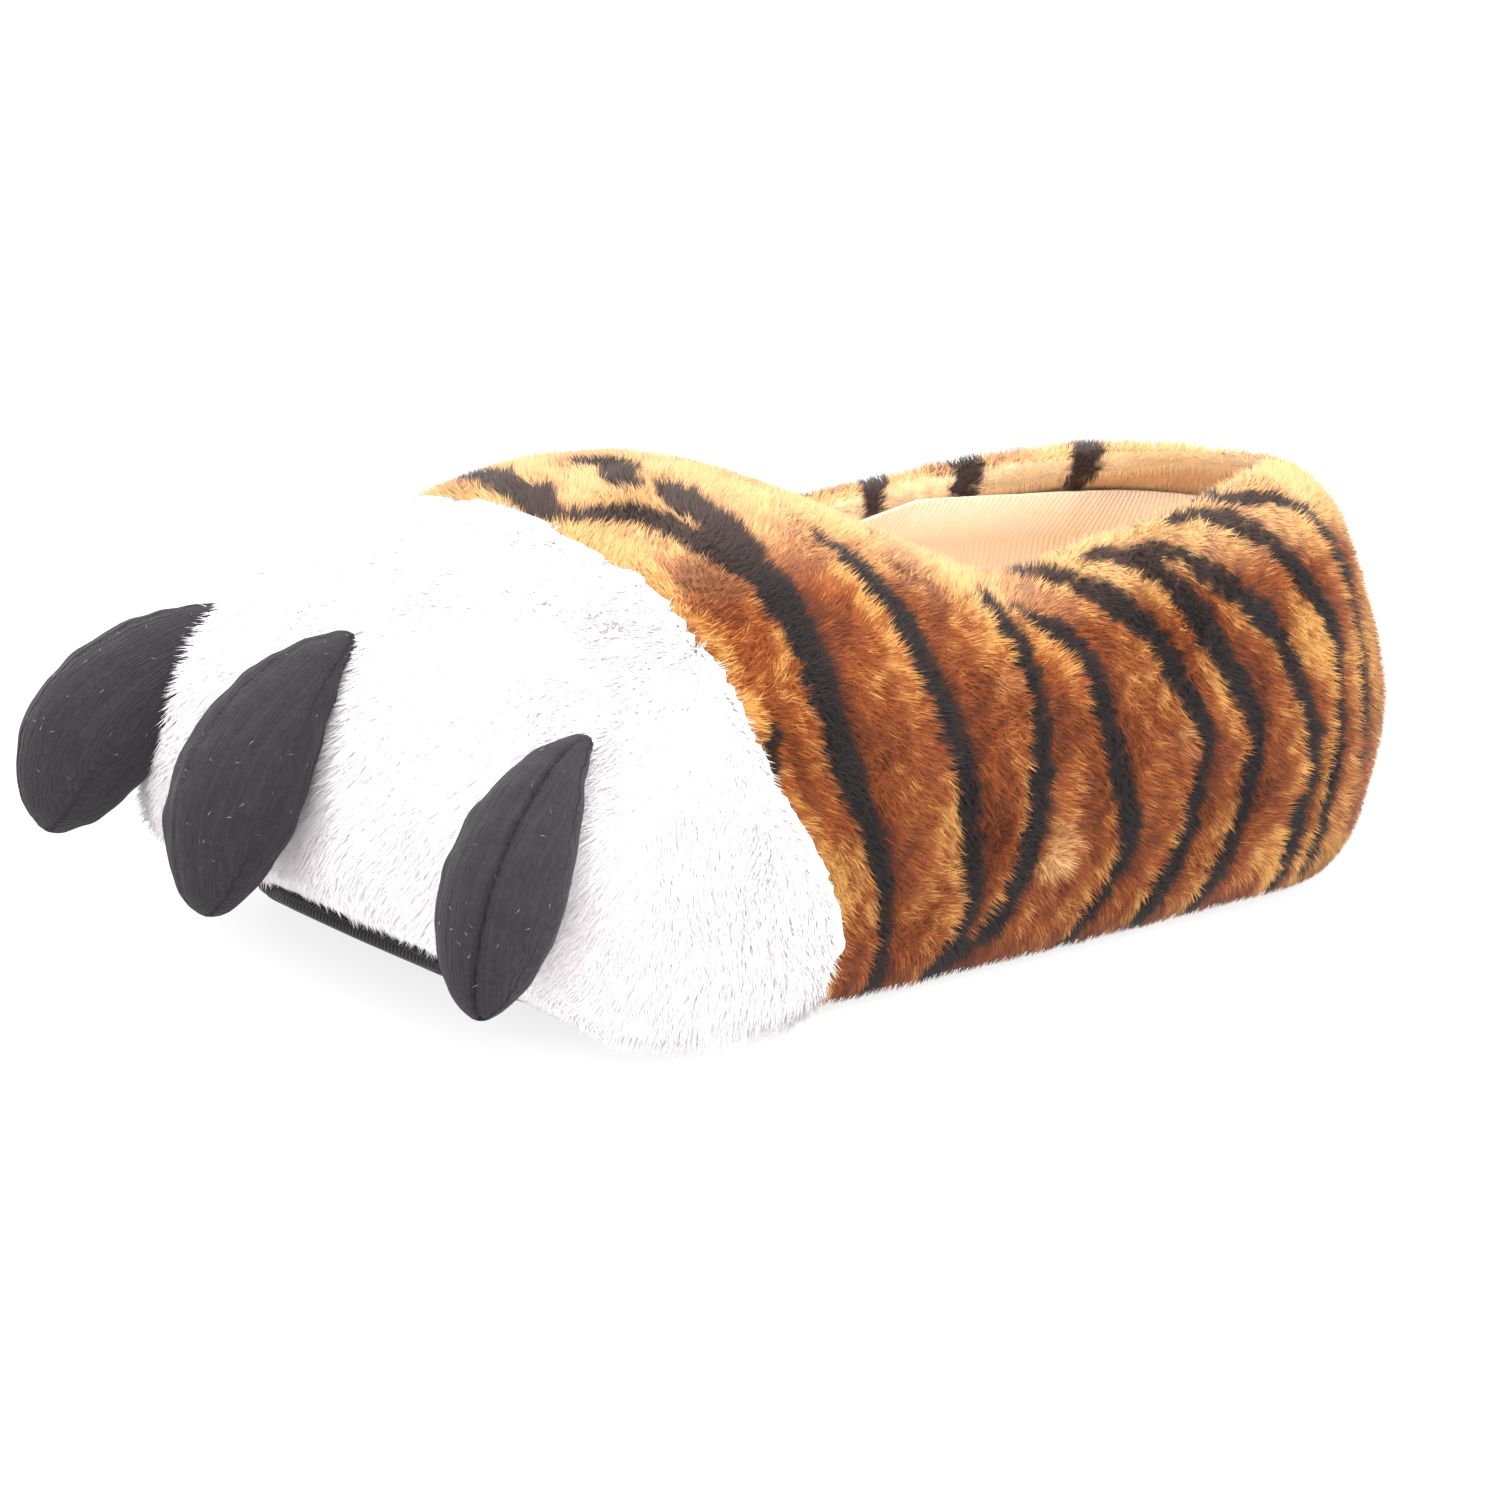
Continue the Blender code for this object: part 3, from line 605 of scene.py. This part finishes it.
def lay_field(roots, normals, lay, uneven, rng):
    """The way the hairs lean at each root, along the skin: the nap's own way, combed unevenly."""
    way = np.array(np.broadcast_to(lay, roots.shape), float)
    swirl = np.column_stack([ripple(roots, 12.0, SEED + 20 + axis) for axis in range(3)])
    way += uneven * (swirl + 0.8 * rng.normal(size=way.shape))
    inside = ramp(-outward(roots, normals), 0.0, 0.3)
    way = mixed(way, np.array([0.0, 0.0, 1.0]), inside)
    for x, y, z, reach, strength in PARTINGS:
        out = roots - (x, y, z)
        near = strength * (1 - ramp(np.linalg.norm(out, axis=1), 0.4 * reach, reach))
        way = mixed(way, unit(out), near)
    way = mixed(way, np.array([0.0, 0.0, -1.0]), hang_share(roots, normals))
    way -= (way * normals).sum(1, keepdims=True) * normals
    return unit(way)


def grow(roots, normals, pile, lay, uneven, rng):
    """Tips of the hairs, drawn together in tufts, and a shade from -1 to 1 for each hair's tuft."""
    count = len(roots)
    flat = lay_field(roots, normals, lay, uneven, rng)
    tilt = pile["tilt"] * (1 + 0.15 * ripple(roots, 8.0, SEED + 30) + 0.2 * rng.normal(size=count))
    tilt = np.radians(tilt + (HANG_TILT - tilt) * hang_share(roots, normals))
    length = pile["length"] * (1 + 0.06 * ripple(roots, 6.0, SEED + 31) + 0.1 * rng.normal(size=count))
    way = np.cos(tilt)[:, None] * normals + np.sin(tilt)[:, None] * flat
    tips = roots + way * np.clip(length, 0.6 * pile["length"], 1.25 * pile["length"])[:, None]
    heads = rng.choice(count, count // pile["tuft"], replace=False)
    tree = KDTree(len(heads))
    for i, head in enumerate(heads):
        tree.insert(roots[head], i)
    tree.balance()
    tuft = np.array([tree.find(root)[1] for root in roots])
    pull = pile["pull"] * rng.uniform(0.4, 1.4, count)[:, None]
    tips += (tips[heads][tuft] - tips) * pull
    tips[:, 2] = np.maximum(tips[:, 2], FLOOR_CLEAR + 0.6 * rng.random(count))
    shade = 0.35 * np.clip(rng.normal(size=len(heads)), -1.6, 1.6)[tuft] + 0.5 * rng.normal(size=count)
    return tips, np.clip(shade, -1, 1)


def hair_mesh(name, roots, tips, normals, width, root_tints, tip_tints):
    """Closed three-sided spikes, all in one mesh, shaded as one soft surface."""
    count = len(roots)
    way = unit(tips - roots)
    across = unit(np.cross(way, np.roll(way, 1, axis=1) + (0.1, 0.2, 0.3)))
    third = np.cross(way, across)
    turn = np.radians((0, 120, 240))
    around = np.cos(turn)[:, None] * across[:, None] + np.sin(turn)[:, None] * third[:, None]
    foot = roots[:, None] - 0.4 * way[:, None] + np.asarray(width).reshape(-1, 1, 1) / 2 * around
    points = np.concatenate([foot, tips[:, None]], axis=1).reshape(-1, 3)
    faces = np.array([(0, 1, 3), (1, 2, 3), (2, 0, 3), (0, 2, 1)])
    mesh = mesh_from(name, points, (4 * np.arange(count)[:, None, None] + faces).reshape(-1, 3))
    tint(mesh, np.stack([root_tints, root_tints, root_tints, tip_tints], axis=1).reshape(-1, 3))
    facing = np.concatenate([normals[:, None] + 0.25 * around, (normals + 0.3 * way)[:, None]], axis=1)
    mesh.normals_split_custom_set_from_vertices(unit(facing.reshape(-1, 3)).tolist())
    hair_map(mesh, count)
    return mesh


def hair_map(mesh, count):
    """A texture map that gives each hair its own cell, its root low in the cell and its tip high."""
    side = int(np.ceil(np.sqrt(count)))
    cell = np.column_stack([np.arange(count) % side, np.arange(count) // side])
    corner = np.array([(0.2, 0.15), (0.5, 0.15), (0.8, 0.15), (0.5, 0.85)])
    places = ((cell[:, None] + corner) / side).reshape(-1, 2)
    loops = np.empty(len(mesh.loops), np.int32)
    mesh.loops.foreach_get("vertex_index", loops)
    mesh.uv_layers.new(name="OFBake").data.foreach_set("uv", places[loops].astype(np.float32).ravel())


# Skins under the pile

def rim_lift(places):
    """How far the collar's rim is lifted."""
    x, y, z = places.T
    run = ramp(x, *LEFT_RIM_RISE)
    for fall in LEFT_RIM_FALLS:
        run = run * (1 - ramp(x, *fall))
    left = LEFT_RIM_LIFT * run * ramp(y, *LEFT_RIM_SIDE)
    heel = HEEL_RIM_LIFT * (1 - ramp(x, *HEEL_RIM_FALL)) * ramp(y, *HEEL_RIM_SIDE)
    return np.maximum(left, heel) * ramp(z, *RIM_LIFT_Z)


def hem_drop(places):
    """How far the lower edge of the cloth is let down, which it is not under the paw."""
    low = 1 - ramp(places[:, 2], HEM_LOW, HEM_HIGH)
    behind = 1 - ramp(seam_ahead(places), *HEM_END)
    return HEM_DROP * low * behind


def body_skin():
    """The upper's cloth, sunk under its pile, and the triangles that carry pile."""
    mesh = remeshed("upper", SKIN_VOXEL)
    relax(mesh, 4)
    places, normals = read_points(mesh), read_normals(mesh)
    rim = ramp(places[:, 2], RIM_LOW - 2, RIM_LOW + 2) * (places[:, 0] < THROAT_X)
    furred = np.maximum(ramp(outward(places, normals), -0.1, 0.15), rim)
    sink = INSIDE_SINK + (BODY_PILE["sink"] - INSIDE_SINK) * furred
    places[:, 2] += rim_lift(places) - furred * hem_drop(places)
    places -= normals * sink[:, None]
    places[:, 2] = np.maximum(places[:, 2], 2 * FLOOR_CLEAR)
    write_points(mesh, places)
    furred *= seam_ahead(places) < 4
    furred *= 1 - ramp(-normals[:, 2], 0.94, 0.99)
    triangles = read_triangles(mesh)
    return mesh, triangles[furred[triangles].min(1) > 0.5]


def paw_skin():
    """The paw's cloth, sunk under its pile, and the triangles that carry pile."""
    mesh = remeshed("toe_cap", SKIN_VOXEL)
    relax(mesh, 4)
    places, normals = read_points(mesh), read_normals(mesh)
    out = outward(places, normals, PAW_HEART_SPAN, PAW_HEART_SIDE)
    shown = ramp(out, 0.0, 0.2) * (1 - ramp(-normals[:, 0], 0.85, 0.98))
    tuck = SEAM_TUCK * (1 - ramp(seam_ahead(places), 0, SEAM_TUCK_RUN))
    write_points(mesh, places - normals * (1.0 + (PAW_PILE["sink"] - 1.0 + tuck) * shown)[:, None])
    triangles = read_triangles(mesh)
    return mesh, triangles[shown[triangles].min(1) > 0.5]


def add_pile(name, growth, own, width, material):
    """One piece of pile from the hairs that are its own."""
    roots, tips, normals, root_tints, tip_tints = (values[own] for values in growth)
    widths = width * np.random.default_rng(SEED).uniform(0.75, 1.25, len(roots))
    add_piece(name, hair_mesh(name, roots, tips, normals, widths, root_tints, tip_tints), material)


def tiger_growth(places, normals, triangles, hairs, rng):
    """Striped hairs over some triangles: roots, tips, normals and both colours."""
    roots, facing = scatter(places, normals, triangles, hairs, rng)
    tips, shade = grow(roots, facing, BODY_PILE, BODY_LAY, BODY_SWIRL, rng)
    root_tints, tip_tints = tiger_tints(roots + BODY_PILE["sink"] * facing, facing, shade)
    return roots, tips, facing, root_tints, tip_tints


def make_body(material, rng):
    """The striped upper: its cloth and three pieces of pile."""
    mesh, triangles = body_skin()
    places, normals = read_points(mesh), read_normals(mesh)
    # the cloth takes the pile's root colours, painted light on the top and the rim's inner face included
    roots, tips = tiger_tints(places + BODY_PILE["sink"] * normals, normals, np.zeros(len(places)))
    lined = ramp(-outward(places, normals), 0.1, 0.4) * (1 - ramp(places[:, 2], RIM_LOW - 6, RIM_LOW))
    tint(mesh, mixed(0.85 * roots, linear(LINING_TAN), lined))
    add_piece("upper_cloth", mesh, backing_material("tiger_backing", 0.8, 1.1), "upper")
    growth = tiger_growth(places, normals, triangles, BODY_PILE["hairs"], rng)
    along = growth[0][:, 0]
    part = np.digitize(along, np.quantile(along, (1 / 3, 2 / 3)))
    for i, name in enumerate(("pile_heel", "pile_middle", "pile_instep")):
        add_pile(name, growth, part == i, BODY_PILE["width"], material)


def make_paw(material, rng):
    """The white paw: its cloth and two pieces of pile."""
    mesh, triangles = paw_skin()
    places, normals = read_points(mesh), read_normals(mesh)
    # the white cloth takes the roots' colour, painted shade included
    tint(mesh, np.tile(linear(WHITE_ROOT_PAINTED_SHADE), (len(places), 1)))
    add_piece("paw_cloth", mesh, backing_material("white_backing", 0.97, 1.0), "toe_cap")

    ahead = seam_ahead(places) + 0.8 * ripple(places, 6.0, SEED + 6)
    carries = ahead[triangles].mean(1) > SEAM_MARGIN
    roots, facing = scatter(places, normals, triangles[carries], PAW_PILE["hairs"], rng)
    lay = mixed(np.array(SEAM_LAY), np.array(PAW_LAY), ramp(seam_ahead(roots), *SEAM_LAY_RUN))
    tips, shade = grow(roots, facing, PAW_PILE, lay, PAW_SWIRL, rng)
    growth = (roots, tips, facing, *white_tints(tips, shade))
    for name, own in (("pile_paw_left", roots[:, 1] >= 0), ("pile_paw_right", roots[:, 1] < 0)):
        add_pile(name, growth, own, PAW_PILE["width"], material)


# Claws, lining and soles

def knit_map(places, normals, heading):
    """Millimetres round a claw from its ridge, and up it."""
    ahead = np.array([np.cos(heading), np.sin(heading), 0.5])
    sideways = normals @ np.array([-np.sin(heading), np.cos(heading), 0])
    facing = np.sqrt(np.clip(1 - sideways**2, 0, 1)) * np.where(normals @ ahead > 0, 1, -1)
    return CLAW_RADIUS * np.arctan2(sideways, facing), places[:, 2]


def sewn_on(places, sewn):
    """A claw's points leant and moved to where the claw is sewn."""
    middle = (places.min(0) + places.max(0)) / 2
    lean, turn = np.radians((sewn["lean"], AZIMUTH))
    level = np.array([-np.sin(turn), np.cos(turn), 0])
    apart = places - middle
    side, up = apart @ level, apart[:, 2]
    leant = np.cos(lean) * side * sewn["stretch"] + np.sin(lean) * up
    raised = np.cos(lean) * up - np.sin(lean) * side
    moved = places + (leant - side)[:, None] * level + (raised - up)[:, None] * np.array([0, 0, 1])
    return moved + (sewn["x"], sewn["y"], sewn["z"])


def claw_skin(node):
    """A stuffed claw's knit, with a sewn seam along its ridge."""
    sewn = dict(zip(SEWN_COLUMNS, CLAWS_SEWN[node]))
    mesh = remeshed(node, CLAW_VOXEL)
    relax(mesh, 3)
    write_points(mesh, sewn_on(read_points(mesh), sewn))
    places, normals = read_points(mesh), read_normals(mesh)
    round_way, up = knit_map(places, normals, np.radians(CLAW_HEADINGS[node]))
    seam = np.exp(-((round_way - sewn["seam"]) / CLAW_GROOVE_HALF) ** 2)
    stitches = 1 + 0.35 * np.sin(2 * np.pi * up / CLAW_STITCH)
    pucker = 0.14 * ripple(places, 4.0, SEED + 40)
    write_points(mesh, places + normals * (sewn["swell"] + pucker - CLAW_GROOVE * seam * stitches)[:, None])
    tint(mesh, np.tile(1 - 0.6 * seam[:, None], (1, 3)))
    knit = np.column_stack([round_way, up, np.zeros(len(up))]) * MM
    layer = mesh.attributes.new("knit", "FLOAT_VECTOR", "POINT")
    layer.data.foreach_set("vector", knit.astype(np.float32).ravel())
    return mesh


def make_claw(node, material, lint, rng):
    """One claw, and flecks of lint on its knit."""
    mesh = claw_skin(node)
    add_piece(node + "_knit", mesh, material, node)

    places, normals = read_points(mesh), read_normals(mesh)
    roots, facing = scatter(places, normals, read_triangles(mesh), LINT_PER_CLAW, rng)
    way = rng.normal(size=roots.shape)
    way = unit(way - (way * facing).sum(1, keepdims=True) * facing) + 0.2 * facing
    tips = roots + 0.3 * facing + way * rng.uniform(0.3, 1.0, (LINT_PER_CLAW, 1)) * LINT_LENGTH
    colours = linear(LINT_GREY) * rng.uniform(0.15, 0.7, (LINT_PER_CLAW, 1))
    width = np.full(LINT_PER_CLAW, LINT_WIDTH)
    feet = roots + LINT_RAISED * facing
    flecks = hair_mesh(node + "_lint", feet, tips, facing, width, colours, colours)
    add_piece(node + "_lint", flecks, lint)


def lining_rays(count):
    """Starts and ways of rays from the middle of the foot's room, round its sides and heel."""
    sides = LINING_FRONT - LINING_TURN
    bend = np.pi * LINING_ROUND
    run = np.linspace(0, 2 * sides + bend, count)
    turn = np.clip((run - sides) / LINING_ROUND, 0, np.pi)
    x = LINING_TURN + np.clip(sides - run, 0, None) + np.clip(run - sides - bend, 0, None)
    return x, np.column_stack([-np.sin(turn), np.cos(turn), 0 * turn])


def inner_wall():
    """A function that gives the place where a ray from the foot's room meets the upper."""
    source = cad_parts["upper"].data
    tree = BVHTree.FromPolygons(read_points(source).tolist(), read_triangles(source).tolist())

    def wall(x, way, z):
        return np.array(tree.ray_cast(Vector((x, 0, z)), Vector(way))[0])

    return wall


def rib_columns(wall):
    """Starts and ways of the rays for columns set evenly round the wall, some to each rib."""
    x, ways = lining_rays(LINING_TRACE_RAYS)
    trace = np.array([wall(a, way, LINING_TRACE_Z) for a, way in zip(x, ways)])
    run = np.append(0, np.cumsum(np.linalg.norm(np.diff(trace, axis=0), axis=1)))
    ribs = int(run[-1] / RIB_PITCH)
    even = np.linspace(0, run[-1], ribs * RIB_COLUMNS + 1)
    ways = unit(np.column_stack([np.interp(even, run, ways[:, axis]) for axis in range(3)]))
    return np.interp(even, run, x), ways


def make_lining():
    """The ribbed knit inside the collar: a thin closed sheet with ribs running up the wall."""
    wall = inner_wall()
    x, ways = rib_columns(wall)
    top = np.interp(x, LINING_TOP_X, LINING_TOP_Z)
    raised = RIB_DEPTH * np.abs(np.sin(np.pi * np.arange(len(x)) / RIB_COLUMNS))
    near, far = [], []
    for share in np.linspace(0, 1, LINING_ROWS):
        z = LINING_LOW + (top - LINING_LOW) * share
        hits = np.array([wall(*ray) for ray in zip(x, ways, z)])
        near.append(hits - ways * raised[:, None])
        far.append(hits + ways * LINING_THICKNESS)
    mesh = mesh_from("lining", np.vstack(near + far), sheet_faces(LINING_ROWS, len(x)))
    add_piece("lining", mesh, lining_material("lining_knit"))


def sheet_faces(rows, columns):
    """Quads of a closed sheet: a near grid, a far grid behind it, and the edges between them."""
    index = np.arange(2 * rows * columns).reshape(2, rows, columns)

    def quads(a, b, c, d):
        return np.stack([a.ravel(), b.ravel(), c.ravel(), d.ravel()], axis=1)

    near, far = index
    grids = [
        quads(near[:-1, :-1], near[1:, :-1], near[1:, 1:], near[:-1, 1:]),
        quads(far[:-1, :-1], far[:-1, 1:], far[1:, 1:], far[1:, :-1]),
        quads(near[0, :-1], near[0, 1:], far[0, 1:], far[0, :-1]),
        quads(near[-1, :-1], far[-1, :-1], far[-1, 1:], near[-1, 1:]),
        quads(near[:-1, 0], far[:-1, 0], far[1:, 0], near[1:, 0]),
        quads(near[:-1, -1], near[1:, -1], far[1:, -1], far[:-1, -1]),
    ]
    return np.vstack(grids)


def make_soles():
    """The padded insole and the cloth sole under it."""
    pad = remeshed("insole", SOLE_VOXEL)
    relax(pad, 3)
    write_points(pad, read_points(pad) + PAD_SPREAD * read_normals(pad) * (1, 1, 0))
    relax(pad, 4)
    places, normals = read_points(pad), read_normals(pad)
    quilt = 0.25 * ripple(places, 9.0, SEED + 50) * np.clip(normals[:, 2], 0, 1)
    write_points(pad, places + normals * quilt[:, None])
    add_piece("insole_pad", pad, pad_material("insole_knit"), "insole")

    sole = remeshed("outsole", SOLE_VOXEL)
    relax(sole, 2)
    add_piece("sole_cloth", sole, weave_material("sole_weave"), "outsole")


# Stage

def make_camera():
    """The camera at the photograph's angle, rolled with it."""
    turn, rise, roll = np.radians((AZIMUTH, RISE, ROLL))
    level = np.array([-np.sin(turn), np.cos(turn), 0])
    out = np.array([np.cos(rise) * np.cos(turn), np.cos(rise) * np.sin(turn), np.sin(rise)])
    upright = np.cross(out, level)
    up = np.cos(roll) * upright - np.sin(roll) * level
    eye = np.array(SIGHT) + DISTANCE * out
    back = unit(eye - np.array(AIM))
    right = unit(np.cross(up, back))
    lens = bpy.data.cameras.new("camera")
    lens.sensor_width = SENSOR
    lens.lens = SENSOR * FOCAL_PIXELS / PHOTO_PIXELS
    camera = bpy.data.objects.new("camera", lens)
    turned = Matrix(np.column_stack([right, np.cross(back, right), back]).tolist()).to_4x4()
    camera.matrix_world = Matrix.Translation(to_frame(eye)) @ turned
    bpy.context.scene.collection.objects.link(camera)
    bpy.context.scene.camera = camera


def add_light(name, place, aim, size, power):
    """A square soft light at a place in metres, turned to its aim."""
    lamp = bpy.data.lights.new(name, "AREA")
    lamp.size = size
    lamp.energy = power
    light = bpy.data.objects.new(name, lamp)
    light.location = place
    light.rotation_euler = (Vector(aim) - Vector(place)).to_track_quat("-Z", "Y").to_euler()
    bpy.context.scene.collection.objects.link(light)


def make_stage():
    """A plain pale floor under soft white light, brightest from above."""
    world = bpy.data.worlds.new("studio")
    world.use_nodes = True
    world.node_tree.nodes["Background"].inputs["Color"].default_value = (1, 1, 1, 1)
    world.node_tree.nodes["Background"].inputs["Strength"].default_value = WORLD_STRENGTH
    bpy.context.scene.world = world
    bpy.context.scene.view_settings.view_transform = "Standard"
    for name, place, size, power in LIGHTS:
        add_light(name, place, LIGHT_AIM, size, power)

    bpy.ops.mesh.primitive_plane_add(size=FLOOR_SIZE)
    floor = bpy.context.object
    floor.name = "floor"
    material, tree, shader = new_material("floor_paper", 0.9)
    noise = shoe_noise(tree, 30.0)
    floor_greys = [(grey, grey, grey) for grey in FLOOR_GREY]
    tree.links.new(two_tone(tree, noise.outputs["Fac"], *floor_greys), shader.inputs["Base Color"])
    shader.inputs["Emission Color"].default_value = (1, 1, 1, 1)
    shader.inputs["Emission Strength"].default_value = FLOOR_GLOW
    floor.data.materials.append(material)


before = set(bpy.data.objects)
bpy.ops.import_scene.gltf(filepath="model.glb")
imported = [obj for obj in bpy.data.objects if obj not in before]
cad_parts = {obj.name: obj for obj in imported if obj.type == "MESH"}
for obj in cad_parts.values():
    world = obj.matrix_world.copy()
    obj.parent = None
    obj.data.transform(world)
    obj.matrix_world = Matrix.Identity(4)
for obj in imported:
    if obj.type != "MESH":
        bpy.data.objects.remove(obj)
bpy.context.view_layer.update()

make_camera()
make_stage()
tiger_pile, white_pile = pile_material("tiger_pile", 0.12), pile_material("white_pile", 0.2)
make_body(tiger_pile, np.random.default_rng(SEED))
make_paw(white_pile, np.random.default_rng(SEED + 100))
claw_knit, claw_lint = claw_material("claw_knit"), pile_material("claw_lint", 0.1)
for claw in CLAW_HEADINGS:
    make_claw(claw, claw_knit, claw_lint, np.random.default_rng(SEED + 200))
make_lining()
make_soles()
